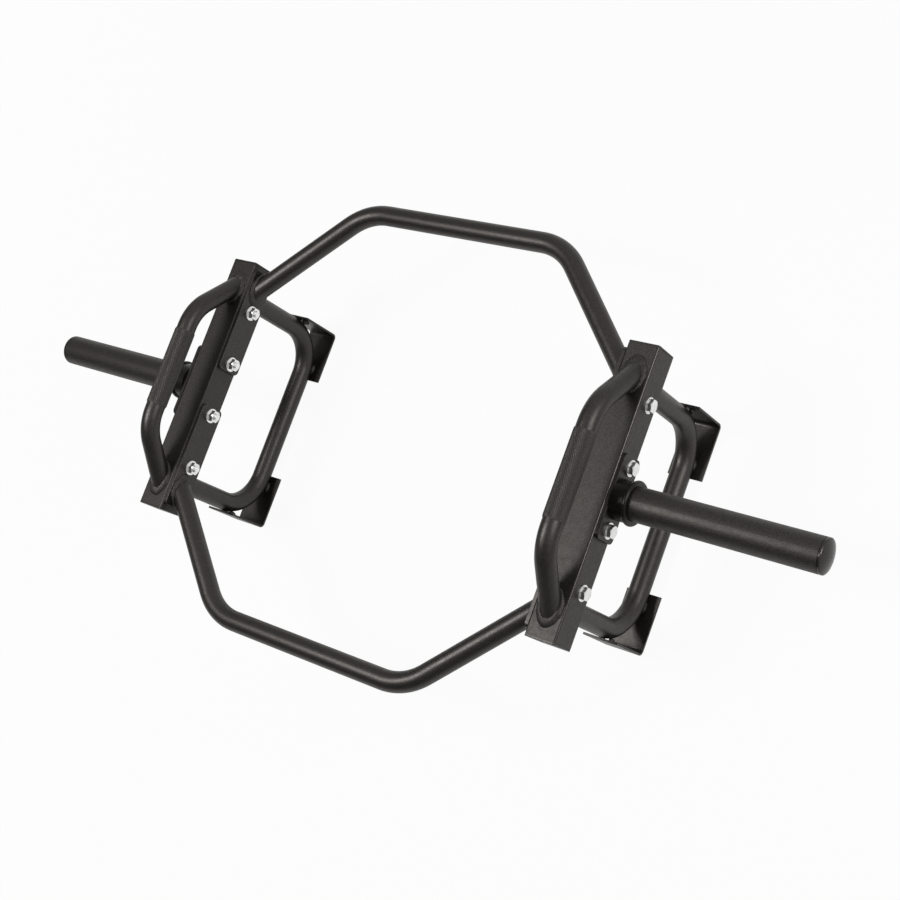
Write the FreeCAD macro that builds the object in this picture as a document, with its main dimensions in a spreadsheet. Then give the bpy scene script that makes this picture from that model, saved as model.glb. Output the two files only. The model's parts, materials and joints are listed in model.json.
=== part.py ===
import FreeCAD, Part
import math
import operator
import os

import Sketcher

# Hex trap bar: two bolted side beams with handles and weight sleeves, joined by bent tubes
# into a hexagon that stands on two loops with bracket feet.
# Lengths are in millimetres and angles in degrees. X runs along the sleeves, Y along the
# side beams and Z is up. The origin lies on the floor, midway between the four feet.

SIZES = {
    # side beams of rectangular tube, and the caps in their ends
    "stand_height": 227.0,  # floor to the beams' centre lines
    "beam_spacing": 777.0,  # between the beams' centre lines
    "beam_length": 438.5,  # over the end caps
    "beam_width": 50.0,
    "beam_height": 50.0,
    "beam_wall": 2.5,
    "beam_inner_corner": 0.5,
    "cap_lip": 3.0,
    "cap_edge": 1.0,
    "cap_seam": 0.7,  # groove between a cap and its tube
    "cap_seam_depth": 1.0,
    "cap_plug": 14.0,
    "cap_clearance": 0.3,
    # front and rear tubes of the hexagon, and their mounting plates
    "frame_diameter": 32.0,
    "frame_wall": 2.5,
    "frame_run": 381.5,  # outer run, between its sharp corners
    "frame_angle": 45.0,  # each corner's turn
    "frame_bend": 96.0,
    "frame_inset": 40.65,  # beam's end to the tube's foot
    "plate_thickness": 6.0,
    "plate_setback": 1.0,  # plates stay this far inside the beam's edges
    "plate_corner": 8.0,
    "plate_margin": 14.0,  # inner bolt to the plate's end
    "plate_rim": 8.0,  # plate beyond the tube's foot
    "sheet_edge": 0.8,  # rounding of the edges of plates, flanges and brackets
    # handles
    "handle_diameter": 31.0,
    "handle_wall": 2.5,
    "handle_rise": 69.1,  # beam's upper face to the grip's centre line
    "handle_angle": 45.0,  # slope of the legs
    "handle_bend": 70.0,
    "handle_inset": 48.25,  # beam's end to the leg's foot
    "knurl_raise": 0.6,
    "knurl_margin": 8.0,  # knurl's end to the bend
    # stand loops and their foot brackets
    "loop_diameter": 32.0,
    "loop_wall": 2.5,
    "loop_bend": 68.0,
    "loop_inset": 54.65,  # beam's end to the leg
    "bracket_width": 59.0,
    "bracket_thickness": 3.5,
    "bracket_foot": 92.0,
    "bracket_side": 87.0,
    "bracket_bend": 5.0,
    "weld_gap": 0.2,
    # sleeves with their flanges, hub rings, collar rings and caps
    "flange_thickness": 6.0,
    "flange_margin": 16.2,  # bolt to the flange's end
    "flange_corner": 8.0,
    "hub_length": 21.0,
    "hub_wall": 4.7,
    "collar_length": 8.0,
    "collar_rise": 7.5,  # collar's rim above the sleeve
    "collar_edge": 3.6,
    "ring_clearance": 0.3,
    "seat_step": 0.5,  # turned seat below the sleeve's surface
    "sleeve_diameter": 50.0,
    "sleeve_wall": 4.0,
    "sleeve_length": 276.6,  # free for weight plates
    "sleeve_cap_length": 9.0,  # to the top of its domed face
    "sleeve_cap_band": 4.4,  # straight rim below the dome
    "sleeve_cap_edge": 1.2,
    "sleeve_cap_plug": 22.0,
    # bolts, nuts and washers
    "bolt_diameter": 12.0,
    "bolt_clearance": 0.5,
    "bolt_end": 4.0,  # bolt beyond its nut
    "head_flats": 18.0,
    "head_height": 7.5,
    "nut_height": 10.0,
    "nut_clearance": 0.2,
    "washer_diameter": 24.0,
    "washer_thickness": 2.5,
    "collar_gap": 1.5,  # collar's rim to the sleeve bolt's washer
    "foot_gap": 5.7,  # frame tube's foot to the frame bolt's washer
}
CHAMFER_SHARE = 0.95  # chamfer circle of a hexagon, as a share of its flats
CHAMFER_SLOPE_SHARE = math.sqrt(3)  # widening of the chamfer cone, as a share of its depth

X_AXIS = FreeCAD.Vector(1, 0, 0)
Y_AXIS = FreeCAD.Vector(0, 1, 0)
Z_AXIS = FreeCAD.Vector(0, 0, 1)
OUTWARD = {"right": 1, "left": -1}  # each side's direction along X
REARWARD = {"rear": 1, "front": -1}  # each end's direction along Y

doc = FreeCAD.newDocument("HexTrapBar")
sheet = doc.addObject("Spreadsheet::Sheet", "Sizes")
for row, (alias, number) in enumerate(SIZES.items(), start=1):
    sheet.set(f"A{row}", alias)
    sheet.set(f"B{row}", str(number))
    sheet.setAlias(f"B{row}", alias)
doc.recompute()


class Size:
    """A size worked out from the sheet: its value, and the formula that binds it."""

    def __init__(self, value, formula):
        self.value = value
        self.formula = formula

    def joined(self, sign, action, other):
        other = other if isinstance(other, Size) else Size(other, str(other))
        return Size(action(self.value, other.value), f"({self.formula} {sign} {other.formula})")

    def __add__(self, other):
        return self.joined("+", operator.add, other)

    def __sub__(self, other):
        return self.joined("-", operator.sub, other)

    def __mul__(self, other):
        return self.joined("*", operator.mul, other)

    def __truediv__(self, other):
        return self.joined("/", operator.truediv, other)

    def __neg__(self):
        return Size(-self.value, f"(-{self.formula})")


class Sheet:
    """Gives each named size of the sheet as an attribute."""

    def __getattr__(self, alias):
        return Size(float(sheet.get(alias)), f"Sizes.{alias}")


def tangent(angle):
    return Size(math.tan(math.radians(angle.value)), f"tan({angle.formula})")


def sine(angle):
    return Size(math.sin(math.radians(angle.value)), f"sin({angle.formula})")


ZERO = Size(0.0, "0")
dim = Sheet()

# places shared by several pieces, measured from a beam's centre with +X outward
beam_side = dim.beam_width / 2
beam_top = dim.beam_height / 2
beam_end = dim.beam_length / 2
plate_face = beam_side + dim.plate_thickness
plate_half_height = beam_top - dim.plate_setback
foot_half_length = dim.frame_diameter / 2 / sine(dim.frame_angle)
foot_place = beam_end - dim.frame_inset
frame_bolt_place = foot_place - foot_half_length - dim.foot_gap - dim.washer_diameter / 2
collar_radius = dim.sleeve_diameter / 2 + dim.collar_rise
sleeve_bolt_place = collar_radius + dim.collar_gap + dim.washer_diameter / 2
bolt_hole_radius = dim.bolt_diameter / 2 + dim.bolt_clearance
sleeve_root = beam_side + dim.flange_thickness
collar_root = sleeve_root + dim.hub_length
sleeve_start = collar_root + dim.collar_length
sleeve_end = sleeve_start + dim.sleeve_length
seat_radius = dim.sleeve_diameter / 2 - dim.seat_step
ring_bore = seat_radius + dim.ring_clearance
sleeve_bore = dim.sleeve_diameter / 2 - dim.sleeve_wall
loop_leg = beam_end - dim.loop_inset
loop_height = dim.bracket_thickness + dim.weld_gap + dim.loop_diameter / 2 - dim.stand_height

subparts = []


def bind(target, path, size):
    target.setExpression(path, size.formula)


def place(piece, label, outward, rotation):
    """Names a finished piece and sets it on one beam's centre, or midway where outward is 0."""
    reach = dim.beam_spacing / 2 * outward
    piece.Label = label
    base = FreeCAD.Vector(reach.value, 0, dim.stand_height.value)
    piece.Placement = FreeCAD.Placement(base, rotation)
    bind(piece, "Placement.Base.x", reach)
    bind(piece, "Placement.Base.z", dim.stand_height)
    subparts.append(piece)


def side_turn(direction):
    return FreeCAD.Rotation(Z_AXIS, 0 if direction == 1 else 180)


def corner_turn(outward, rearward):
    """Rotation that points a piece's own +X outward and its own +Y to the wanted end."""
    if outward == rearward:
        return side_turn(outward)
    return FreeCAD.Rotation(X_AXIS if outward == 1 else Y_AXIS, 180)


# sketches


def new_body(name):
    return doc.addObject("PartDesign::Body", name)


def origin_plane(body, role):
    return next(item for item in body.Origin.OriginFeatures if item.Role == role)


def new_sketch(body, role, offset=None):
    sketch = body.newObject("Sketcher::SketchObject", f"{body.Name}_sketch")
    sketch.AttachmentSupport = [(origin_plane(body, role), "")]
    sketch.MapMode = "FlatFace"
    if offset:
        sketch.AttachmentOffset = FreeCAD.Placement(Z_AXIS * offset.value, FreeCAD.Rotation())
        bind(sketch, "AttachmentOffset.Base.z", offset)
    return sketch


def fix(sketch, kind, geometry, point, size):
    """Adds a constraint whose value follows the sheet."""
    parts = [kind, geometry] + ([point] if point else []) + [size.value]
    index = sketch.addConstraint(Sketcher.Constraint(*parts))
    bind(sketch, f"Constraints[{index}]", size)


def fix_point(sketch, geometry, point, corner):
    fix(sketch, "DistanceX", geometry, point, corner[0])
    fix(sketch, "DistanceY", geometry, point, corner[1])


def add_circle(sketch, centre, radius):
    middle = FreeCAD.Vector(centre[0].value, centre[1].value, 0)
    circle = sketch.addGeometry(Part.Circle(middle, Z_AXIS, radius.value))
    fix_point(sketch, circle, 3, centre)
    fix(sketch, "Radius", circle, None, radius)


def add_trace(sketch, corners, rounds, closed=True):
    """Draws lines through the corners, with the rounds' radii, and gives the count of edges."""
    count = len(corners)
    points = [FreeCAD.Vector(x.value, y.value, 0) for x, y in corners]
    starts = list(points)
    ends = list(points)
    for index, radius in rounds.items():
        before = (points[index - 1] - points[index]).normalize()
        after = (points[(index + 1) % count] - points[index]).normalize()
        reach = radius.value / math.tan(before.getAngle(after) / 2)
        ends[index] = points[index] + before * reach
        starts[index] = points[index] + after * reach
    lines = []
    for index in range(count if closed else count - 1):
        line = Part.LineSegment(starts[index], ends[(index + 1) % count])
        lines.append(sketch.addGeometry(line))
    for index, corner in enumerate(corners):
        inner = closed or 0 < index < count - 1
        if index in rounds:
            round_corner(sketch, lines[index - 1], lines[index], corner, rounds[index])
        elif inner:
            sketch.addConstraint(Sketcher.Constraint("Coincident", lines[index - 1], 2, lines[index], 1))
            fix_point(sketch, lines[index], 1, corner)
        elif index == 0:
            fix_point(sketch, lines[0], 1, corner)
        else:
            fix_point(sketch, lines[-1], 2, corner)
    return len(lines) + len(rounds)


def round_corner(sketch, line_in, line_out, corner, radius):
    """Joins two lines by an arc that touches both, with their sharp corner held in place."""
    point = FreeCAD.Vector(corner[0].value, corner[1].value, 0)
    end = sketch.Geometry[line_in].EndPoint
    start = sketch.Geometry[line_out].StartPoint
    before = (end - point).normalize()
    after = (start - point).normalize()
    half = before.getAngle(after) / 2
    centre = point + (before + after).normalize() * (radius.value / math.sin(half))
    left_turn = before.cross(after).z < 0
    first, last = (end, start) if left_turn else (start, end)
    first_angle = math.atan2(first.y - centre.y, first.x - centre.x)
    last_angle = math.atan2(last.y - centre.y, last.x - centre.x)
    circle = Part.Circle(centre, Z_AXIS, radius.value)
    arc = sketch.addGeometry(Part.ArcOfCircle(circle, first_angle, last_angle))
    sharp = sketch.addGeometry(Part.Point(point), True)
    arc_in, arc_out = (1, 2) if left_turn else (2, 1)
    sketch.addConstraint(Sketcher.Constraint("Tangent", line_in, 2, arc, arc_in))
    sketch.addConstraint(Sketcher.Constraint("Tangent", arc, arc_out, line_out, 1))
    sketch.addConstraint(Sketcher.Constraint("PointOnObject", sharp, 1, line_in))
    sketch.addConstraint(Sketcher.Constraint("PointOnObject", sharp, 1, line_out))
    fix_point(sketch, sharp, 1, corner)
    fix(sketch, "Radius", arc, None, radius)


def add_rectangle(sketch, low, high, radius=None):
    corners = [low, (high[0], low[1]), high, (low[0], high[1])]
    rounds = dict.fromkeys(range(len(corners)), radius) if radius else {}
    add_trace(sketch, corners, rounds)


def mirrored_rectangle(sketch, half_width, half_height, radius=None):
    add_rectangle(sketch, (-half_width, -half_height), (half_width, half_height), radius)


# features


def add_pad(body, sketch, length, symmetric=False):
    pad = body.newObject("PartDesign::Pad", f"{body.Name}_pad")
    pad.Profile = sketch
    pad.SideType = "Symmetric" if symmetric else "One side"
    bind(pad, "Length", length)
    body.Tip = pad


def add_pocket(body, sketch, length=None, symmetric=False):
    """Cuts the sketch away against its normal, or right through where no length is given."""
    doc.recompute()
    volume_before = body.Shape.Volume
    pocket = body.newObject("PartDesign::Pocket", f"{body.Name}_pocket")
    pocket.Profile = sketch
    pocket.SideType = "Symmetric" if symmetric else "One side"
    if length:
        bind(pocket, "Length", length)
    else:
        pocket.Type = "ThroughAll"
    body.Tip = pocket
    doc.recompute()
    if body.Shape.Volume >= volume_before:
        raise RuntimeError(f"{pocket.Name} cuts nothing")


def add_revolution(body, sketch):
    revolution = body.newObject("PartDesign::Revolution", f"{body.Name}_revolution")
    revolution.Profile = sketch
    revolution.ReferenceAxis = (sketch, ["H_Axis"])
    body.Tip = revolution


def add_bent_tube(body, path_plane, path, bend, section_plane, section_centre, diameter, wall):
    """Half a bent tube from its middle outwards, mirrored about the plane of its section."""
    spine = new_sketch(body, path_plane)
    edge_count = add_trace(spine, path, {1: bend}, closed=False)
    section = new_sketch(body, section_plane)
    add_circle(section, section_centre, diameter / 2)
    add_circle(section, section_centre, diameter / 2 - wall)
    pipe = body.newObject("PartDesign::AdditivePipe", f"{body.Name}_pipe")
    pipe.Profile = section
    pipe.Spine = (spine, [f"Edge{number}" for number in range(1, edge_count + 1)])
    body.Tip = pipe
    doc.recompute()
    mirrored = body.newObject("PartDesign::Mirrored", f"{body.Name}_mirrored")
    mirrored.Originals = [pipe]
    mirrored.MirrorPlane = (origin_plane(body, section_plane), [""])
    body.Tip = mirrored


# side beams and their end caps


def make_side_beam(side):
    body = new_body(f"{side}_side_beam")
    section = new_sketch(body, "XZ_Plane")
    outer_corner = dim.beam_inner_corner + dim.beam_wall
    mirrored_rectangle(section, beam_side, beam_top, outer_corner)
    mirrored_rectangle(section, beam_side - dim.beam_wall, beam_top - dim.beam_wall, dim.beam_inner_corner)
    add_pad(body, section, dim.beam_length - dim.cap_lip * 2, symmetric=True)
    holes = new_sketch(body, "YZ_Plane")
    for place_along in (frame_bolt_place, sleeve_bolt_place):
        add_circle(holes, (place_along, ZERO), bolt_hole_radius)
        add_circle(holes, (-place_along, ZERO), bolt_hole_radius)
    add_pocket(body, holes, symmetric=True)
    place(body, f"{side}_side_beam", OUTWARD[side], side_turn(OUTWARD[side]))


def make_beam_end_cap(side, end):
    body = new_body(f"{side}_{end}_beam_cap")
    lip = new_sketch(body, "XZ_Plane", -beam_end)
    mirrored_rectangle(lip, beam_side, beam_top, dim.beam_inner_corner + dim.beam_wall)
    add_pad(body, lip, dim.cap_lip - dim.cap_seam)
    seam = new_sketch(body, "XZ_Plane", dim.cap_lip - dim.cap_seam - beam_end)
    mirrored_rectangle(seam, beam_side - dim.cap_seam_depth, beam_top - dim.cap_seam_depth)
    add_pad(body, seam, dim.cap_seam)
    plug = new_sketch(body, "XZ_Plane", dim.cap_lip - beam_end)
    inset = dim.beam_wall + dim.cap_clearance
    mirrored_rectangle(plug, beam_side - inset, beam_top - inset)
    add_pad(body, plug, dim.cap_plug)
    round_rim(body, "Y", beam_end, dim.cap_edge)
    place(body, f"{side}_{end}_beam_cap", OUTWARD[side], side_turn(REARWARD[end]))


def round_rim(body, axis, rim_place, radius):
    """Rounds all edges of the body that lie in one plane across the axis."""
    doc.recompute()
    base = body.Tip
    names = []
    for number, edge in enumerate(base.Shape.Edges, start=1):
        low = getattr(edge.BoundBox, f"{axis}Min")
        high = getattr(edge.BoundBox, f"{axis}Max")
        if max(abs(low - rim_place.value), abs(high - rim_place.value)) < radius.value / 2:
            names.append(f"Edge{number}")
    fillet = body.newObject("PartDesign::Fillet", f"{body.Name}_fillet")
    fillet.Base = (base, names)
    bind(fillet, "Radius", radius)
    body.Tip = fillet


# hexagon tubes and their mounting plates


def make_frame_tube(end):
    body = new_body(f"{end}_frame_tube")
    face = dim.beam_spacing / 2 - plate_face
    half_run = dim.frame_run / 2
    slope = tangent(dim.frame_angle)
    run_place = foot_place + (face - half_run) * slope
    past_face = face + dim.frame_diameter
    past_foot = foot_place - dim.frame_diameter * slope
    path = [(ZERO, run_place), (half_run, run_place), (past_face, past_foot)]
    add_bent_tube(body, "XY_Plane", path, dim.frame_bend, "YZ_Plane", (run_place, ZERO),
                  dim.frame_diameter, dim.frame_wall)
    ends = new_sketch(body, "XY_Plane")
    clear_of_tube = past_face + dim.frame_diameter
    add_rectangle(ends, (face, ZERO), (clear_of_tube, run_place))
    add_rectangle(ends, (-clear_of_tube, ZERO), (-face, run_place))
    add_pocket(body, ends, symmetric=True)
    place(body, f"{end}_frame_tube", 0, side_turn(REARWARD[end]))


def make_frame_plate(side, end):
    body = new_body(f"{side}_{end}_frame_plate")
    outline = new_sketch(body, "YZ_Plane", -plate_face)
    inner_end = sleeve_bolt_place - dim.plate_margin
    outer_end = foot_place + foot_half_length + dim.plate_rim
    low = (inner_end, -plate_half_height)
    high = (outer_end, plate_half_height)
    add_rectangle(outline, low, high, dim.plate_corner)
    add_circle(outline, (frame_bolt_place, ZERO), bolt_hole_radius)
    add_circle(outline, (sleeve_bolt_place, ZERO), bolt_hole_radius)
    add_pad(body, outline, dim.plate_thickness)
    round_rim(body, "X", -plate_face, dim.sheet_edge)
    place(body, f"{side}_{end}_frame_plate", OUTWARD[side], corner_turn(OUTWARD[side], REARWARD[end]))


# handles


def make_handle(side):
    body = new_body(f"{side}_handle")
    grip_height = beam_top + dim.handle_rise
    foot = beam_end - dim.handle_inset
    slope = tangent(dim.handle_angle)
    corner = foot - dim.handle_rise / slope
    past_foot = foot + dim.handle_diameter / slope
    path = [(ZERO, grip_height), (corner, grip_height), (past_foot, beam_top - dim.handle_diameter)]
    add_bent_tube(body, "YZ_Plane", path, dim.handle_bend, "XZ_Plane", (ZERO, grip_height),
                  dim.handle_diameter, dim.handle_wall)
    grip = new_sketch(body, "XZ_Plane")
    add_circle(grip, (ZERO, grip_height), dim.handle_diameter / 2 + dim.knurl_raise)
    add_circle(grip, (ZERO, grip_height), dim.handle_diameter / 2 - dim.handle_wall)
    bend_reach = dim.handle_bend * tangent(dim.handle_angle / 2)
    add_pad(body, grip, (corner - bend_reach - dim.knurl_margin) * 2, symmetric=True)
    feet = new_sketch(body, "XY_Plane", beam_top)
    clear_of_tube = past_foot + dim.handle_diameter
    mirrored_rectangle(feet, dim.handle_diameter, clear_of_tube)
    add_pocket(body, feet, dim.handle_diameter * 2)
    place(body, f"{side}_handle", OUTWARD[side], side_turn(OUTWARD[side]))


# stand loops and foot brackets


def make_stand_loop(side):
    body = new_body(f"{side}_stand_loop")
    path = [(ZERO, loop_height), (loop_leg, loop_height), (loop_leg, -beam_top)]
    add_bent_tube(body, "YZ_Plane", path, dim.loop_bend, "XZ_Plane", (ZERO, loop_height),
                  dim.loop_diameter, dim.loop_wall)
    place(body, f"{side}_stand_loop", OUTWARD[side], side_turn(OUTWARD[side]))


def make_foot_bracket(side, end):
    body = new_body(f"{side}_{end}_foot_bracket")
    outline = new_sketch(body, "YZ_Plane")
    inner_face = loop_leg + dim.loop_diameter / 2 + dim.weld_gap
    outer_face = inner_face + dim.bracket_thickness
    floor = -dim.stand_height
    upper_face = floor + dim.bracket_thickness
    foot_end = outer_face - dim.bracket_foot
    side_end = floor + dim.bracket_side
    corners = [
        (foot_end, floor),
        (outer_face, floor),
        (outer_face, side_end),
        (inner_face, side_end),
        (inner_face, upper_face),
        (foot_end, upper_face),
    ]
    rounds = {1: dim.bracket_bend + dim.bracket_thickness, 4: dim.bracket_bend}
    add_trace(outline, corners, rounds)
    add_pad(body, outline, dim.bracket_width, symmetric=True)
    round_rim(body, "X", dim.bracket_width / 2, dim.sheet_edge)
    round_rim(body, "X", -dim.bracket_width / 2, dim.sheet_edge)
    place(body, f"{side}_{end}_foot_bracket", OUTWARD[side], side_turn(REARWARD[end]))


# sleeves


def make_sleeve_flange(side):
    body = new_body(f"{side}_sleeve_flange")
    outline = new_sketch(body, "YZ_Plane", beam_side)
    half_length = sleeve_bolt_place + dim.flange_margin
    mirrored_rectangle(outline, half_length, plate_half_height, dim.flange_corner)
    add_circle(outline, (sleeve_bolt_place, ZERO), bolt_hole_radius)
    add_circle(outline, (-sleeve_bolt_place, ZERO), bolt_hole_radius)
    add_pad(body, outline, dim.flange_thickness)
    round_rim(body, "X", sleeve_root, dim.sheet_edge)
    place(body, f"{side}_sleeve_flange", OUTWARD[side], side_turn(OUTWARD[side]))


def make_turned_piece(side, name, corners, rounds):
    """A piece revolved about the sleeve's axis from its half section."""
    body = new_body(f"{side}_{name}")
    section = new_sketch(body, "XZ_Plane")
    add_trace(section, corners, rounds)
    add_revolution(body, section)
    place(body, f"{side}_{name}", OUTWARD[side], side_turn(OUTWARD[side]))


def make_sleeve_rings(side):
    hub_radius = ring_bore + dim.hub_wall
    hub = [
        (sleeve_root, ring_bore),
        (collar_root, ring_bore),
        (collar_root, hub_radius),
        (sleeve_root, hub_radius),
    ]
    make_turned_piece(side, "sleeve_hub", hub, {})
    collar = [
        (collar_root, ring_bore),
        (sleeve_start, ring_bore),
        (sleeve_start, collar_radius),
        (collar_root, collar_radius),
    ]
    make_turned_piece(side, "sleeve_collar", collar, {2: dim.collar_edge, 3: dim.collar_edge})


def make_sleeve(side):
    radius = dim.sleeve_diameter / 2
    tube = [
        (sleeve_root, sleeve_bore),
        (sleeve_end, sleeve_bore),
        (sleeve_end, radius),
        (sleeve_start, radius),
        (sleeve_start, seat_radius),
        (sleeve_root, seat_radius),
    ]
    make_turned_piece(side, "sleeve", tube, {})


def make_sleeve_cap(side):
    """A plug with a grooved rim and a domed face, revolved from its half section."""
    body = new_body(f"{side}_sleeve_cap")
    section = new_sketch(body, "XZ_Plane")
    radius = dim.sleeve_diameter / 2
    rim_radius = radius - dim.sleeve_cap_edge
    groove_radius = radius - dim.cap_seam_depth
    plug_radius = sleeve_bore - dim.ring_clearance
    plug_end = sleeve_end - dim.sleeve_cap_plug
    seam_end = sleeve_end + dim.cap_seam
    rim = sleeve_end + dim.sleeve_cap_band
    crown = sleeve_end + dim.sleeve_cap_length
    corners = [
        (rim, rim_radius),
        (rim - dim.sleeve_cap_edge, radius),
        (seam_end, radius),
        (seam_end, groove_radius),
        (sleeve_end, groove_radius),
        (sleeve_end, plug_radius),
        (plug_end, plug_radius),
        (plug_end, ZERO),
        (crown, ZERO),
    ]
    last_line = add_trace(section, corners, {}, closed=False) - 1
    close_with_dome(section, last_line, crown.value, rim.value, rim_radius.value)
    add_revolution(body, section)
    place(body, f"{side}_sleeve_cap", OUTWARD[side], side_turn(OUTWARD[side]))


def close_with_dome(sketch, last_line, crown, rim, rim_radius):
    """Closes a half section by an arc about a point on the axis, from its crown to its rim."""
    rise = crown - rim
    dome_radius = (rim_radius ** 2 + rise ** 2) / (2 * rise)
    centre = FreeCAD.Vector(crown - dome_radius, 0, 0)
    circle = Part.Circle(centre, Z_AXIS, dome_radius)
    rim_angle = math.asin(rim_radius / dome_radius)
    arc = sketch.addGeometry(Part.ArcOfCircle(circle, 0, rim_angle))
    sketch.addConstraint(Sketcher.Constraint("Coincident", last_line, 2, arc, 1))
    sketch.addConstraint(Sketcher.Constraint("Coincident", arc, 2, 0, 1))
    sketch.addConstraint(Sketcher.Constraint("PointOnObject", arc, 3, -1))


# bolts, nuts and washers, lying along X


def along_x(solid, start, across, length):
    """Lays a primitive along X, from start outwards, at its place along the beam."""
    base = FreeCAD.Vector(start.value, across.value, 0)
    solid.Placement = FreeCAD.Placement(base, FreeCAD.Rotation(Y_AXIS, 90))
    bind(solid, "Placement.Base.x", start)
    bind(solid, "Placement.Base.y", across)
    bind(solid, "Height", length)
    return solid


def rod(radius, start, across, length):
    cylinder = doc.addObject("Part::Cylinder", "rod")
    bind(cylinder, "Radius", radius)
    return along_x(cylinder, start, across, length)


def hexagon(flats, start, across, length, inward=False):
    """A hexagon prism, chamfered on its outward face or, if asked, on its inward one."""
    prism = doc.addObject("Part::Prism", "hexagon")
    bind(prism, "Circumradius", flats / math.sqrt(3))
    along_x(prism, start, across, length)
    narrow = flats * CHAMFER_SHARE / 2
    wide = narrow + length * CHAMFER_SLOPE_SHARE
    cone = doc.addObject("Part::Cone", "chamfer")
    bind(cone, "Radius1", narrow if inward else wide)
    bind(cone, "Radius2", wide if inward else narrow)
    along_x(cone, start, across, length)
    return joined("Part::Common", prism, cone)


def joined(kind, base, tool):
    result = doc.addObject(kind, "joined")
    result.Base = base
    result.Tool = tool
    return result


def group(side, name, solids):
    compound = doc.addObject("Part::Compound", f"{side}_{name}")
    compound.Links = solids
    place(compound, f"{side}_{name}", OUTWARD[side], side_turn(OUTWARD[side]))


def make_bolts(side, name, seat, distance):
    """A pair of bolts through the beam, whose heads stand outside on washers on the seat."""
    head_start = seat + dim.washer_thickness
    nut_seat = -(plate_face + dim.washer_thickness)
    tip = nut_seat - dim.nut_height - dim.bolt_end
    bolts = []
    for across in (distance, -distance):
        head = hexagon(dim.head_flats, head_start, across, dim.head_height)
        shank = rod(dim.bolt_diameter / 2, tip, across, head_start - tip)
        bolts.append(joined("Part::Fuse", head, shank))
    group(side, name, bolts)


def make_washers(side, name, places):
    washers = []
    for start, distance in places:
        for across in (distance, -distance):
            disc = rod(dim.washer_diameter / 2, start, across, dim.washer_thickness)
            hole = rod(bolt_hole_radius, start, across, dim.washer_thickness)
            washers.append(joined("Part::Cut", disc, hole))
    group(side, name, washers)


def make_nuts(side):
    start = -(plate_face + dim.washer_thickness + dim.nut_height)
    nuts = []
    for distance in (frame_bolt_place, sleeve_bolt_place):
        for across in (distance, -distance):
            body = hexagon(dim.head_flats, start, across, dim.nut_height, inward=True)
            hole = rod(dim.bolt_diameter / 2 + dim.nut_clearance, start, across, dim.nut_height)
            nuts.append(joined("Part::Cut", body, hole))
    group(side, "nuts", nuts)


def make_fasteners(side):
    make_bolts(side, "frame_bolts", beam_side, frame_bolt_place)
    make_bolts(side, "sleeve_bolts", sleeve_root, sleeve_bolt_place)
    head_places = [(beam_side, frame_bolt_place), (sleeve_root, sleeve_bolt_place)]
    make_washers(side, "head_washers", head_places)
    nut_side = -(plate_face + dim.washer_thickness)
    make_washers(side, "nut_washers", [(nut_side, frame_bolt_place), (nut_side, sleeve_bolt_place)])
    make_nuts(side)


def check_and_write():
    doc.recompute()
    for item in doc.Objects:
        if "Invalid" in item.State or "Error" in item.State:
            raise RuntimeError(f"{item.Label} failed: {item.State}")
    for piece in subparts:
        if piece.Shape.isNull() or not piece.Shape.isValid():
            raise RuntimeError(f"{piece.Label} has no valid shape")
    os.makedirs("parts", exist_ok=True)
    for piece in subparts:
        piece.Shape.exportStep(f"parts/{piece.Label}.step")
    print(len(subparts), "sub-parts written")


for end_name in REARWARD:
    make_frame_tube(end_name)
for side_name in OUTWARD:
    make_side_beam(side_name)
    for end_name in REARWARD:
        make_beam_end_cap(side_name, end_name)
        make_frame_plate(side_name, end_name)
        make_foot_bracket(side_name, end_name)
    make_handle(side_name)
    make_stand_loop(side_name)
    make_sleeve_flange(side_name)
    make_sleeve_rings(side_name)
    make_sleeve(side_name)
    make_sleeve_cap(side_name)
    make_fasteners(side_name)
check_and_write()
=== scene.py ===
import json
import math

import bmesh
import bpy
from mathutils import Matrix, Vector, noise


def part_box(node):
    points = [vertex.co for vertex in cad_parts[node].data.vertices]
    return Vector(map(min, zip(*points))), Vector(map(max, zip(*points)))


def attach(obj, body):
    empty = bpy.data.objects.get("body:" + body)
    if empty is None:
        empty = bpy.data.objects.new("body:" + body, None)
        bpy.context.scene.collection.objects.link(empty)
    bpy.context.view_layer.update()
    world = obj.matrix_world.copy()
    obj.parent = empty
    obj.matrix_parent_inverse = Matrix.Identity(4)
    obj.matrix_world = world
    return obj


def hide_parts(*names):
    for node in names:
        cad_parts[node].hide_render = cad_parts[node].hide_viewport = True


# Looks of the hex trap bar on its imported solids: powder coat, moulded plastic and zinc plate,
# weld beads at the welded feet, knurled grips and threaded bolts. Lengths are in metres.

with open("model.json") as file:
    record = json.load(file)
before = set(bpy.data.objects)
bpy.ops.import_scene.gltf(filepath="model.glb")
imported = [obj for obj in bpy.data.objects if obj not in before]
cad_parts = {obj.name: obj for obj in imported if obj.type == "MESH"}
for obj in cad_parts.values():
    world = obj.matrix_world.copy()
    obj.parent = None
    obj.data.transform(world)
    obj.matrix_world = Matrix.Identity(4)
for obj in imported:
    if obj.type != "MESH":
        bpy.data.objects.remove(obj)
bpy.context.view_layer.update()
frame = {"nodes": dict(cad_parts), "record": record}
nodes = frame["nodes"]

MM = 0.001
BODY = "root"
OUTWARD = {"right": 1, "left": -1}  # each side's direction along X
REARWARD = {"rear": 1, "front": -1}  # each end's direction along Y
X, Y, Z = range(3)
UP = Vector((0, 0, 1))
EAST = Vector((1, 0, 0))
NORTH = Vector((0, 1, 0))
PLANE_TOLERANCE = 0.01 * MM

# camera
CAMERA_PLACE = Vector((1.46703, -0.28042, 2.11914))
CAMERA_AIM = Vector((0.12288, 0.00437, 0.227))
CAMERA_ROLL = math.radians(-60.0384)
CAMERA_LENS_MM = 62.9857
SENSOR_MM = 36.0

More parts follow.
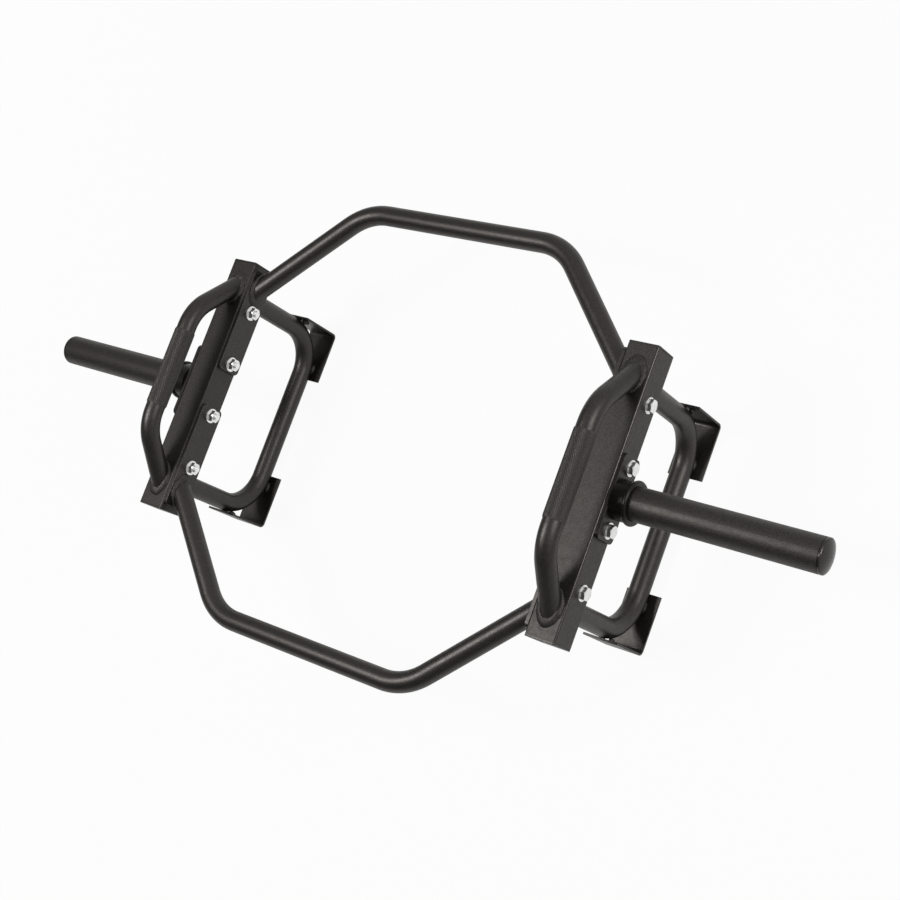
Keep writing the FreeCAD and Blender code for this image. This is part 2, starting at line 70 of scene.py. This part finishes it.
# studio: a soft key light above, a wide fill at the right, a pale floor and a white surround,
# which in gloss both fade towards the front
KEY_PLACE = Vector((-1.08, -0.56, 2.8))
KEY_SIZE = 0.88
KEY_WATTS = 46.0
FILL_PLACE = Vector((2.14, 0.47, 1.32))
FILL_SIZE = 1.0
FILL_WATTS = 18.0
SOFT_LEVEL = 0.15
WALL_WAY = Vector((0.6, 0.7, 0.35))
WALL_LEVELS = (0.13, 0.66)
WALL_REACH = (-0.2, 0.6)
FLOOR_SIZE = 12.0
FLOOR_COLOUR = (0.92, 0.92, 0.915, 1.0)
FLOOR_ROUGHNESS = 0.9
FLOOR_GLOSS = 0.1
FLOOR_GLOW_SHARES = (0.94, 1.0)
FLOOR_GLOW_REACH = (0.9, 3.0)  # from the origin
WHITE = (1, 1, 1, 1)
MIRROR_GLOW_SHARE = 0.75
EAST_FADE = (1.0, 0.58, 0.6, 0.95)  # levels, and the reach between them
NORTH_FADE = (0.88, 1.0, 0.0, 0.6)

# weld beads
HANDLE_LEG = 5.8 * MM
FRAME_LEG = 5.5 * MM
LOOP_LEG = 5.5 * MM
STITCH_LEG = 5.0 * MM
STITCH_LENGTH = 16 * MM
STITCH_SETBACK = 13 * MM  # bracket's end to the stitch
RIPPLE_PITCH = 3.0 * MM
BEAD_STEP = RIPPLE_PITCH / 5
BEAD_SINK = 1.0 * MM
BEAD_PROFILE = 7  # points across a bead's face
BULGE_SHARE = 0.17
RIPPLE_SHARE = 0.08
LUMP_SHARE = 0.22
LUMP_SIZE = 7 * MM
LUMP_OFFSET = UP * 5  # between the lumps of a bead's two legs
WALL_LEG_SHARE = 0.9
RIPPLE_BOW = 0.4
END_SHARE = 0.15  # an open bead's narrowest end
END_POWER = 0.4
TIP_SHARE = 0.35
UPRIGHT_SLOPE = 0.99  # steeper tubes have no tip
TINY = 0.0001

# knurled grips
KNURL_PITCH = 3.2 * MM
KNURL_STRETCH = math.tan(math.radians(60))  # grooves run 30 degrees from the grip's axis
KNURL_DEPTH = 0.6 * MM
KNURL_LIFT = 0.05 * MM  # grooves above the grip's solid
KNURL_ROOT = 1.2 * MM  # the sleeve's inner face below that solid

# bolts
THREAD_PITCH = 1.75 * MM
THREAD_SHARE = 0.55  # thread's depth as a share of its pitch
THREAD_RUN = 9 * MM
THREAD_STEPS = 8
THREAD_POINT = 1.2 * MM
BOLT_SECTION = 48
HEAD_CHAMFER_SHARE = 0.94
HEAD_CHAMFER_SLOPE = math.tan(math.radians(30))
HEAD_COLLAR = 0.4 * MM
SHARP_ANGLE = math.radians(35)

# materials
NOISE_LOW = 0.3  # most of a noise pattern lies between these
NOISE_HIGH = 0.7
SAND_DETAIL = 3.0
CLOUD_DETAIL = 4.0
CLOUD_SCALE = 5  # clouds of gloss against the grain
COAT_TINT = (1.0, 0.935, 0.895, 1.0)
COAT_BUMP = 0.8
FLAT_HEIGHT = 0.5  # middle of the grain
BURNISHED_ROUGHNESS = 0.22
CORNER_START = 3.0 * MM  # below the beam's sharp corner, where its rounding begins
CORNER_FULL = 2.6 * MM
BLACK = ((0.0015, 0.0013, 0.0011, 1.0), (0.0195, 0.0167, 0.0144, 1.0))
# darker black for the hubs and collars: a painted shade for the grip's shadow and the dark
# reflections round the hubs
PAINTED_SHADE_BLACK = ((0.0035, 0.003, 0.0027, 1.0), (0.0075, 0.0066, 0.006, 1.0))
# lighter black for the grips: a painted sheen for light caught on the knurl's peaks
PAINTED_SHEEN_BLACK = ((0.008, 0.0072, 0.0066, 1.0), (0.026, 0.0238, 0.022, 1.0))
MOULDED_BLACK = ((0.0085, 0.008, 0.0075, 1.0), (0.0145, 0.0138, 0.013, 1.0))
SATIN = (0.56, 0.72)  # ranges of gloss
SANDY = (0.49, 0.79)
# lower gloss for the flanges, which darkens them: painted shade round the hubs
DULL = (0.42, 0.54)
FAINT = (0.27, 0.37)
ZINC_COLOURS = ((0.92, 0.92, 0.91, 1.0), (0.98, 0.98, 0.97, 1.0))
ZINC_METAL = 0.94
ZINC_ROUGHNESS = (0.1, 0.18)
ZINC_CLOUD = 4 * MM
ZINC_BUMP = 0.4
MARK_SIZE = 0.6 * MM  # tool marks
MARK_DEPTH = 0.03 * MM
MARK_DETAIL = 2.0


# materials


def new_material(name):
    """An empty node material with its tree and its shader."""
    material = bpy.data.materials.new(name)
    material.use_nodes = True
    tree = material.node_tree
    return material, tree, tree.nodes["Principled BSDF"]


def grain(tree, size, detail):
    """A noise pattern of the wanted size, in the object's own metres."""
    place = tree.nodes.new("ShaderNodeTexCoord")
    texture = tree.nodes.new("ShaderNodeTexNoise")
    texture.inputs["Scale"].default_value = 1 / size
    texture.inputs["Detail"].default_value = detail
    tree.links.new(place.outputs["Object"], texture.inputs["Vector"])
    return texture.outputs["Fac"]


def spread(tree, value, low, high, from_low=NOISE_LOW, from_high=NOISE_HIGH):
    """Maps a value from its usual range to another."""
    mapped = tree.nodes.new("ShaderNodeMapRange")
    mapped.inputs["From Min"].default_value = from_low
    mapped.inputs["From Max"].default_value = from_high
    mapped.inputs["To Min"].default_value = low
    mapped.inputs["To Max"].default_value = high
    tree.links.new(value, mapped.inputs["Value"])
    return mapped.outputs["Result"]


def blend_colours(tree, value, colours):
    """A colour between two, after a noise pattern."""
    ramp = tree.nodes.new("ShaderNodeValToRGB")
    for element, colour, place in zip(ramp.color_ramp.elements, colours, (NOISE_LOW, NOISE_HIGH)):
        element.color = colour
        element.position = place
    tree.links.new(value, ramp.inputs["Fac"])
    return ramp.outputs["Color"]


def worked(tree, operation, first, second=None):
    """The result of one sum on a value, with a second value or a number."""
    node = tree.nodes.new("ShaderNodeMath")
    node.operation = operation
    tree.links.new(first, node.inputs[0])
    if isinstance(second, float):
        node.inputs[1].default_value = second
    elif second:
        tree.links.new(second, node.inputs[1])
    return node.outputs["Value"]


def chosen(tree, factor, without, with_it):
    """One value where the factor is zero and the other where it is one."""
    mix = tree.nodes.new("ShaderNodeMix")
    tree.links.new(factor, mix.inputs["Factor"])
    for socket, value in (("A", without), ("B", with_it)):
        if isinstance(value, float):
            mix.inputs[socket].default_value = value
        else:
            tree.links.new(value, mix.inputs[socket])
    return mix.outputs["Result"]


def add_bump(tree, shader, height, depth, strength):
    """Relief of the given depth in the shading."""
    bump = tree.nodes.new("ShaderNodeBump")
    bump.inputs["Strength"].default_value = strength
    bump.inputs["Distance"].default_value = depth
    tree.links.new(height, bump.inputs["Height"])
    tree.links.new(bump.outputs["Normal"], shader.inputs["Normal"])


def powder_coat(name, colours, gloss, roughness, grain_size, grain_depth, burnished=False):
    """Satin coat with a sandy grain that speckles its shade, its gloss and its surface."""
    material, tree, shader = new_material(name)
    shader.inputs["Specular Tint"].default_value = COAT_TINT
    sand = grain(tree, grain_size, SAND_DETAIL)
    tree.links.new(blend_colours(tree, sand, colours), shader.inputs["Base Color"])
    tree.links.new(spread(tree, sand, *gloss), shader.inputs["Specular IOR Level"])
    cloud = grain(tree, grain_size * CLOUD_SCALE, CLOUD_DETAIL)
    rough = spread(tree, cloud, *roughness)
    height = sand
    if burnished:
        corners = upper_corners(tree)
        rough = chosen(tree, corners, rough, BURNISHED_ROUGHNESS)
        height = chosen(tree, corners, sand, FLAT_HEIGHT)
    tree.links.new(rough, shader.inputs["Roughness"])
    add_bump(tree, shader, height, grain_depth, COAT_BUMP)
    return material


def upper_corners(tree):
    """One on the beams' long outer upper corners and zero on their flat faces."""
    low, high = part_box("right_side_beam")
    place = tree.nodes.new("ShaderNodeTexCoord")
    parts = tree.nodes.new("ShaderNodeSeparateXYZ")
    tree.links.new(place.outputs["Object"], parts.inputs["Vector"])
    distance = worked(tree, "ABSOLUTE", parts.outputs["X"])
    sideways = worked(tree, "SUBTRACT", distance, (low.x + high.x) / 2)
    corner = worked(tree, "ADD", sideways, parts.outputs["Z"])
    sharp = high.z + (high.x - low.x) / 2
    return spread(tree, corner, 0.0, 1.0, sharp - CORNER_START, sharp - CORNER_FULL)


def zinc_plate(name):
    """Bright plated steel with a cloudy sheen and fine tool marks."""
    material, tree, shader = new_material(name)
    shader.inputs["Metallic"].default_value = ZINC_METAL
    cloud = grain(tree, ZINC_CLOUD, SAND_DETAIL)
    tree.links.new(blend_colours(tree, cloud, ZINC_COLOURS), shader.inputs["Base Color"])
    tree.links.new(spread(tree, cloud, *ZINC_ROUGHNESS), shader.inputs["Roughness"])
    add_bump(tree, shader, grain(tree, MARK_SIZE, MARK_DETAIL), MARK_DEPTH, ZINC_BUMP)
    return material


# name, colours, gloss, roughness, size and depth of the grain, burnished corners
COAT = powder_coat("coat", BLACK, SATIN, (0.37, 0.44), 1.6 * MM, 0.12 * MM)
BEAM_COAT = powder_coat("beam_coat", BLACK, SANDY, (0.45, 0.53), 1.7 * MM, 0.15 * MM, True)
SLEEVE_COAT = powder_coat("sleeve_coat", BLACK, SANDY, (0.45, 0.53), 1.7 * MM, 0.15 * MM)
# painted shade: a duller copy of the coat darkens the flanges beside the hubs
FLANGE_COAT = powder_coat("flange_coat", BLACK, DULL, (0.37, 0.44), 1.6 * MM, 0.12 * MM)
# painted shade: a darker, less glossy copy of the coat on the hubs and collars, which lie in the
# grip's shadow
PAINTED_SHADE_COAT = powder_coat("painted_shade_coat", PAINTED_SHADE_BLACK, FAINT, (0.3, 0.36), 1.7 * MM, 0.05 * MM)
# painted sheen: the grip coat is a lighter black, standing in for light caught on the knurl
GRIP_COAT = powder_coat("grip_coat", PAINTED_SHEEN_BLACK, SATIN, (0.48, 0.56), 1.6 * MM, 0.12 * MM)
BEAD_COAT = powder_coat("bead_coat", BLACK, SATIN, (0.46, 0.56), 1.5 * MM, 0.2 * MM)
PLASTIC = powder_coat("plastic", MOULDED_BLACK, SATIN, (0.36, 0.44), MM, 0.08 * MM)
GLOSSY_PLASTIC = powder_coat("glossy_plastic", MOULDED_BLACK, SATIN, (0.16, 0.24), MM, 0.03 * MM)
ZINC = zinc_plate("zinc")
SLOT_MATERIALS = {"frame_coat": COAT, "cap_plastic": PLASTIC, "fastener_zinc": ZINC}
SPECIAL_MATERIALS = {
    "sleeve": SLEEVE_COAT,
    "sleeve_cap": GLOSSY_PLASTIC,
    # painted shade on the collars and hubs
    "sleeve_collar": PAINTED_SHADE_COAT,
    # painted shade on the flanges
    "sleeve_flange": FLANGE_COAT,
    "sleeve_hub": PAINTED_SHADE_COAT,
    "side_beam": BEAM_COAT,
}


def dress_solids():
    """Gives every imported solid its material."""
    for subpart in frame["record"]["subparts"]:
        _, _, kind = subpart["node"].partition("_")
        material = SPECIAL_MATERIALS.get(kind, SLOT_MATERIALS[subpart["material_slot"]])
        mesh = nodes[subpart["node"]].data
        mesh.materials.clear()
        mesh.materials.append(material)


# meshes


def add_piece(name, vertices, faces, material):
    """A new piece of the object from its corners and faces, smooth except at sharp edges."""
    mesh = bpy.data.meshes.new(name)
    mesh.from_pydata(vertices, [], faces)
    shape = bmesh.new()
    shape.from_mesh(mesh)
    bmesh.ops.recalc_face_normals(shape, faces=shape.faces)
    shape.to_mesh(mesh)
    shape.free()
    mesh.shade_smooth()
    mesh.set_sharp_from_angle(angle=SHARP_ANGLE)
    mesh.materials.append(material)
    piece = bpy.data.objects.new(name, mesh)
    bpy.context.scene.collection.objects.link(piece)
    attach(piece, BODY)
    return piece


def ring_faces(start, rows, columns, closed=False):
    """Quads between rows of corners that each close on themselves."""
    faces = []
    for row in range(rows if closed else rows - 1):
        here = start + row * columns
        there = start + (row + 1) % rows * columns
        for column in range(columns):
            beside = (column + 1) % columns
            faces.append((here + column, here + beside, there + beside, there + column))
    if not closed:
        last = start + (rows - 1) * columns
        faces.append(tuple(range(start, start + columns)))
        faces.append(tuple(range(last, last + columns)))
    return faces


def extent(points):
    """Low and high corner of the box round some points."""
    low = Vector([min(point[axis] for point in points) for axis in (X, Y, Z)])
    high = Vector([max(point[axis] for point in points) for axis in (X, Y, Z)])
    return low, high


# weld beads


def add_bead(vertices, faces, seam, leg, closed):
    """A lumpy, rippled fillet along a seam of places with the directions of both walls."""
    start = len(vertices)
    distance = 0.0
    before = seam[0][0]
    for index, (place, floor_way, wall_way, swell) in enumerate(seam):
        distance += (place - before).length
        before = place
        reach = leg * swell
        if not closed:
            reach *= max(END_SHARE, math.sin(math.pi * index / (len(seam) - 1))) ** END_POWER
        floor_leg = reach * (1 + LUMP_SHARE * noise.noise(place / LUMP_SIZE))
        wall_lump = LUMP_SHARE * noise.noise(place / LUMP_SIZE + LUMP_OFFSET)
        wall_leg = reach * (WALL_LEG_SHARE + wall_lump)
        out = (floor_way + wall_way).normalized()
        vertices.append(place + floor_way * floor_leg - wall_way * BEAD_SINK)
        for step in range(BEAD_PROFILE):
            share = step / (BEAD_PROFILE - 1)
            crown = 4 * share * (1 - share)
            ripple = abs(2 * ((distance / RIPPLE_PITCH + crown * RIPPLE_BOW) % 1.0) - 1)
            rise = reach * (BULGE_SHARE * crown + RIPPLE_SHARE * ripple * math.sqrt(crown))
            chord = floor_way * (floor_leg * (1 - share)) + wall_way * (wall_leg * share)
            vertices.append(place + chord + out * rise)
        vertices.append(place + wall_way * wall_leg - floor_way * BEAD_SINK)
        vertices.append(place - out * BEAD_SINK)
    faces.extend(ring_faces(start, len(seam), BEAD_PROFILE + 3, closed))


def cut_end(node, axis, level, rearward):
    """Centre and half sizes of a tube's cut end, from the node's corners in that plane."""
    corners = [
        corner.co for corner in nodes[node].data.vertices
        if abs(corner.co[axis] - level) < PLANE_TOLERANCE and corner.co.y * rearward >= 0
    ]
    low, high = extent(corners)
    return (low + high) / 2, (high - low) / 2


def ring_seam(centre, half, up, lean):
    """Seam round a tube's end, where the tube leaves along up and leans towards lean."""
    long_half = lean * abs(half.dot(lean))
    short_half = up.cross(lean) * abs(half.dot(up.cross(lean)))
    slope = min(1.0, short_half.length / long_half.length)
    axis = up * slope + lean * math.sqrt(1 - slope * slope)
    count = round(math.pi * (long_half.length + short_half.length) / BEAD_STEP)
    seam = []
    for index in range(count):
        angle = math.tau * index / count
        rim = long_half * math.cos(angle) + short_half * math.sin(angle)
        along = (short_half * math.cos(angle) - long_half * math.sin(angle)).normalized()
        floor_way = along.cross(up)
        wall_way = (axis - along * axis.dot(along)).normalized()
        tip = max(0.0, abs(math.cos(angle)) - slope) / (1 + TINY - slope)
        swell = 1 + TIP_SHARE * tip if slope < UPRIGHT_SLOPE else 1.0
        seam.append((centre + rim, floor_way, wall_way, swell))
    return seam


def weld_tube(name, node, axis, level, rearward, up, lean, leg):
    """A bead round one cut end of a tube."""
    centre, half = cut_end(node, axis, level, rearward)
    vertices, faces = [], []
    add_bead(vertices, faces, ring_seam(centre, half, up, lean), leg, True)
    add_piece(name, vertices, faces, BEAD_COAT)


def weld_feet(side, end):
    """Beads round one end of a handle, a stand loop and a frame tube."""
    outward = OUTWARD[side]
    rearward = REARWARD[end]
    handle_low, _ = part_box(f"{side}_handle")
    _, loop_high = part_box(f"{side}_stand_loop")
    tube_low, tube_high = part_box(f"{end}_frame_tube")
    face = tube_high.x if outward == 1 else tube_low.x
    inward = EAST * -outward
    weld_tube(f"{side}_{end}_handle_weld", f"{side}_handle", Z, handle_low.z, rearward,
              UP, NORTH * -rearward, HANDLE_LEG)
    weld_tube(f"{side}_{end}_loop_weld", f"{side}_stand_loop", Z, loop_high.z, rearward,
              -UP, NORTH * -rearward, LOOP_LEG)
    weld_tube(f"{side}_{end}_frame_weld", f"{end}_frame_tube", X, face, 0,
              inward, NORTH * rearward, FRAME_LEG)


def straight_seam(start, along, floor_way, wall_way):
    """Seam of one stitch, along a straight line."""
    count = round(STITCH_LENGTH / BEAD_STEP)
    return [
        (start + along * (STITCH_LENGTH * index / (count - 1)), floor_way, wall_way, 1.0)
        for index in range(count)
    ]


def stitch_bracket(side, end):
    """Short beads that hold a foot bracket's two flanges to the stand loop."""
    rearward = REARWARD[end]
    loop_low, loop_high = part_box(f"{side}_stand_loop")
    low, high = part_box(f"{side}_{end}_foot_bracket")
    middle = (loop_low.x + loop_high.x) / 2
    beside = (loop_high.x - loop_low.x) / 4  # half the tube's radius
    away = NORTH * rearward
    inner_end = low.y if rearward == 1 else high.y
    leg_face = loop_high.y if rearward == 1 else loop_low.y
    vertices, faces = [], []
    for sideways in (1, -1):
        place_x = middle + beside * sideways
        out = EAST * sideways
        foot = Vector((place_x, inner_end + rearward * STITCH_SETBACK, loop_low.z))
        add_bead(vertices, faces, straight_seam(foot, away, out, UP), STITCH_LEG, False)
        wall = Vector((place_x, leg_face, high.z - STITCH_SETBACK))
        add_bead(vertices, faces, straight_seam(wall, -UP, out, -away), STITCH_LEG, False)
    add_piece(f"{side}_{end}_bracket_welds", vertices, faces, BEAD_COAT)


# knurled grips


def add_knurl(side):
    """A sleeve of small pyramids between two crossing sets of grooves, round the grip."""
    low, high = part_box(f"{side}_handle")
    radius = (high.x - low.x) / 2
    middle = Vector(((high.x + low.x) / 2, 0, high.z - radius))
    crown = [
        corner.co.y for corner in nodes[f"{side}_handle"].data.vertices
        if abs(corner.co.z - high.z) < PLANE_TOLERANCE
    ]
    reach = max(crown)
    columns = 2 * round(math.tau * radius / KNURL_PITCH)
    rows = 2 * round(2 * reach / (KNURL_PITCH * KNURL_STRETCH)) + 1
    rings = [(-reach, None)]
    rings += [(reach * (2 * row / (rows - 1) - 1), row) for row in range(rows)]
    rings += [(reach, None)]
    vertices, faces = [], []
    for along, row in rings:
        for column in range(columns):
            peak = row not in (None, 0, rows - 1) and (row + column) % 2 == 1
            height = KNURL_LIFT + (KNURL_DEPTH if peak else 0.0)
            distance = radius - KNURL_ROOT if row is None else radius + height
            angle = math.tau * column / columns
            spoke = Vector((distance * math.cos(angle), along, distance * math.sin(angle)))
            vertices.append(middle + spoke)
    for quad in ring_faces(0, len(rings), columns, closed=True):
        first, second, third, fourth = quad
        row, column = divmod(first, columns)
        if (row - 1 + column) % 2 == 0:
            faces += [(first, second, fourth), (second, third, fourth)]
        else:
            faces += [(first, second, third), (first, third, fourth)]
    # the knurl carries the grip coat's painted sheen
    piece = add_piece(f"{side}_grip_knurl", vertices, faces, GRIP_COAT)
    piece.data.shade_flat()


# threaded bolts


def loose_solids(node):
    """Corners of each separate solid in a node."""
    shape = bmesh.new()
    shape.from_mesh(nodes[node].data)
    bmesh.ops.remove_doubles(shape, verts=shape.verts, dist=PLANE_TOLERANCE)
    waiting = set(shape.verts)
    solids = []
    while waiting:
        stack = [waiting.pop()]
        corners = []
        while stack:
            corner = stack.pop()
            corners.append(corner.co.copy())
            for edge in corner.link_edges:
                other = edge.other_vert(corner)
                if other in waiting:
                    waiting.remove(other)
                    stack.append(other)
        solids.append(corners)
    shape.free()
    return sorted(solids, key=lambda corners: extent(corners)[0].y)


def hexagon_reach(angle, flats):
    """Distance from a hexagon's centre to its outline in a direction."""
    sixth = math.tau / 6
    return flats / 2 / math.cos((angle + sixth / 2) % sixth - sixth / 2)


def bolt_rows(tip, seat, top, shank, flats):
    """Rows of (place along the bolt, reach) for each angle: thread, shank and hexagon head."""
    turns = [math.tau * column / BOLT_SECTION for column in range(BOLT_SECTION)]
    rows = []
    steps = round(THREAD_RUN / THREAD_PITCH * THREAD_STEPS)
    for step in range(steps + 1):
        along = THREAD_RUN * step / steps
        point = max(0.0, THREAD_POINT - along)
        row = []
        for turn in turns:
            phase = (along / THREAD_PITCH - turn / math.tau) % 1.0
            groove = THREAD_PITCH * THREAD_SHARE * abs(2 * phase - 1)
            row.append((tip + along, shank - max(groove, point)))
        rows.append(row)
    narrow = flats / 2 * HEAD_CHAMFER_SHARE
    hexagon = [hexagon_reach(turn, flats) for turn in turns]
    rounds = ((tip + THREAD_RUN, shank), (seat, shank), (seat, narrow), (seat + HEAD_COLLAR, narrow))
    for place in rounds:
        rows.append([place] * BOLT_SECTION)
    rows.append([(seat + HEAD_COLLAR, reach) for reach in hexagon])
    rows.append([(top - max(0.0, reach - narrow) * HEAD_CHAMFER_SLOPE, reach) for reach in hexagon])
    rows.append([(top, narrow)] * BOLT_SECTION)
    return rows


def add_bolts(side, name):
    """Bolts with hexagon heads and threaded tips in place of a node's plain ones."""
    node = f"{side}_{name}"
    outward = OUTWARD[side]
    vertices, faces = [], []
    for corners in loose_solids(node):
        low, high = extent(corners)
        middle = (low + high) / 2
        ends = sorted((low.x * outward, high.x * outward))
        reaches = [
            (corner.x * outward, math.hypot(corner.y - middle.y, corner.z - middle.z))
            for corner in corners
        ]
        shank = max(reach for along, reach in reaches if along < ends[0] + PLANE_TOLERANCE)
        seat = min(along for along, reach in reaches if reach > shank + MM)
        flats = min(high.y - low.y, high.z - low.z)
        start = len(vertices)
        rows = bolt_rows(ends[0], seat, ends[1], shank, flats)
        for row in rows:
            for column, (along, reach) in enumerate(row):
                turn = math.tau * column / BOLT_SECTION
                across = Vector((0, reach * math.cos(turn), reach * math.sin(turn)))
                vertices.append(Vector((along * outward, middle.y, middle.z)) + across)
        faces += ring_faces(start, len(rows), BOLT_SECTION)
    piece = add_piece(f"{side}_threaded_{name}", vertices, faces, ZINC)
    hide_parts(node)


# studio


def mirror_rays(tree, path):
    """One for what metal and glass show, and zero elsewhere."""
    glossy = path.outputs["Is Glossy Ray"]
    return worked(tree, "MAXIMUM", glossy, path.outputs["Is Transmission Ray"])


def way_along(tree, coordinates, way):
    """How far a place or a direction lies along the given way."""
    place = tree.nodes.new("ShaderNodeTexCoord")
    product = tree.nodes.new("ShaderNodeVectorMath")
    product.operation = "DOT_PRODUCT"
    product.inputs[1].default_value = way
    tree.links.new(place.outputs[coordinates], product.inputs[0])
    return product.outputs["Value"]


def distance_out(tree):
    """How far a place lies from the origin."""
    place = tree.nodes.new("ShaderNodeTexCoord")
    length = tree.nodes.new("ShaderNodeVectorMath")
    length.operation = "LENGTH"
    tree.links.new(place.outputs["Object"], length.inputs[0])
    return length.outputs["Value"]


def add_world():
    """White to the eye, fading towards the front in gloss, and a soft level elsewhere."""
    world = bpy.data.worlds.new("studio")
    bpy.context.scene.world = world
    world.use_nodes = True
    tree = world.node_tree
    background = tree.nodes["Background"]
    background.inputs["Color"].default_value = WHITE
    path = tree.nodes.new("ShaderNodeLightPath")
    around = spread(tree, way_along(tree, "Generated", WALL_WAY), *WALL_LEVELS, *WALL_REACH)
    unseen = chosen(tree, mirror_rays(tree, path), SOFT_LEVEL, around)
    strength = chosen(tree, path.outputs["Is Camera Ray"], unseen, 1.0)
    tree.links.new(strength, background.inputs["Strength"])


def add_floor():
    """A pale floor that keeps a faint shadow, with a glow to the eye and in gloss."""
    half = FLOOR_SIZE / 2
    mesh = bpy.data.meshes.new("floor")
    corners = [(-half, -half, 0), (half, -half, 0), (half, half, 0), (-half, half, 0)]
    mesh.from_pydata(corners, [], [(0, 1, 2, 3)])
    floor = bpy.data.objects.new("floor", mesh)
    bpy.context.scene.collection.objects.link(floor)
    material, tree, shader = new_material("floor")
    shader.inputs["Base Color"].default_value = FLOOR_COLOUR
    shader.inputs["Roughness"].default_value = FLOOR_ROUGHNESS
    shader.inputs["Specular IOR Level"].default_value = FLOOR_GLOSS
    glow = tree.nodes.new("ShaderNodeEmission")
    blend = tree.nodes.new("ShaderNodeMixShader")
    path = tree.nodes.new("ShaderNodeLightPath")
    eastward = spread(tree, way_along(tree, "Object", EAST), *EAST_FADE)
    northward = spread(tree, way_along(tree, "Object", NORTH), *NORTH_FADE)
    fading = worked(tree, "MULTIPLY", eastward, northward)
    strength = chosen(tree, path.outputs["Is Camera Ray"], fading, 1.0)
    tree.links.new(strength, glow.inputs["Strength"])
    mirrored = chosen(tree, mirror_rays(tree, path), 0.0, MIRROR_GLOW_SHARE)
    clear = spread(tree, distance_out(tree), *FLOOR_GLOW_SHARES, *FLOOR_GLOW_REACH)
    seen = chosen(tree, path.outputs["Is Camera Ray"], mirrored, clear)
    tree.links.new(seen, blend.inputs["Fac"])
    tree.links.new(shader.outputs["BSDF"], blend.inputs[1])
    tree.links.new(glow.outputs["Emission"], blend.inputs[2])
    tree.links.new(blend.outputs["Shader"], tree.nodes["Material Output"].inputs["Surface"])
    mesh.materials.append(material)


def add_light(name, place, size, watts):
    """A square lamp that faces the object."""
    light = bpy.data.lights.new(name, "AREA")
    light.shape = "SQUARE"
    light.size = size
    light.energy = watts
    lamp = bpy.data.objects.new(name, light)
    bpy.context.scene.collection.objects.link(lamp)
    lamp.location = place
    lamp.rotation_euler = (CAMERA_AIM - place).to_track_quat("-Z", "Y").to_euler()


def add_camera():
    """The photograph's view."""
    data = bpy.data.cameras.new("camera")
    data.sensor_width = SENSOR_MM
    data.lens = CAMERA_LENS_MM
    camera = bpy.data.objects.new("camera", data)
    bpy.context.scene.collection.objects.link(camera)
    aim = (CAMERA_AIM - CAMERA_PLACE).to_track_quat("-Z", "Y").to_matrix()
    camera.rotation_euler = (aim @ Matrix.Rotation(CAMERA_ROLL, 3, "Z")).to_euler()
    camera.location = CAMERA_PLACE
    bpy.context.scene.camera = camera


dress_solids()
for side_name in OUTWARD:
    for end_name in REARWARD:
        weld_feet(side_name, end_name)
        stitch_bracket(side_name, end_name)
    add_knurl(side_name)
    for bolts in ("frame_bolts", "sleeve_bolts"):
        add_bolts(side_name, bolts)
add_world()
add_floor()
add_light("key", KEY_PLACE, KEY_SIZE, KEY_WATTS)
add_light("fill", FILL_PLACE, FILL_SIZE, FILL_WATTS)
add_camera()
bpy.context.scene.view_settings.view_transform = "Standard"
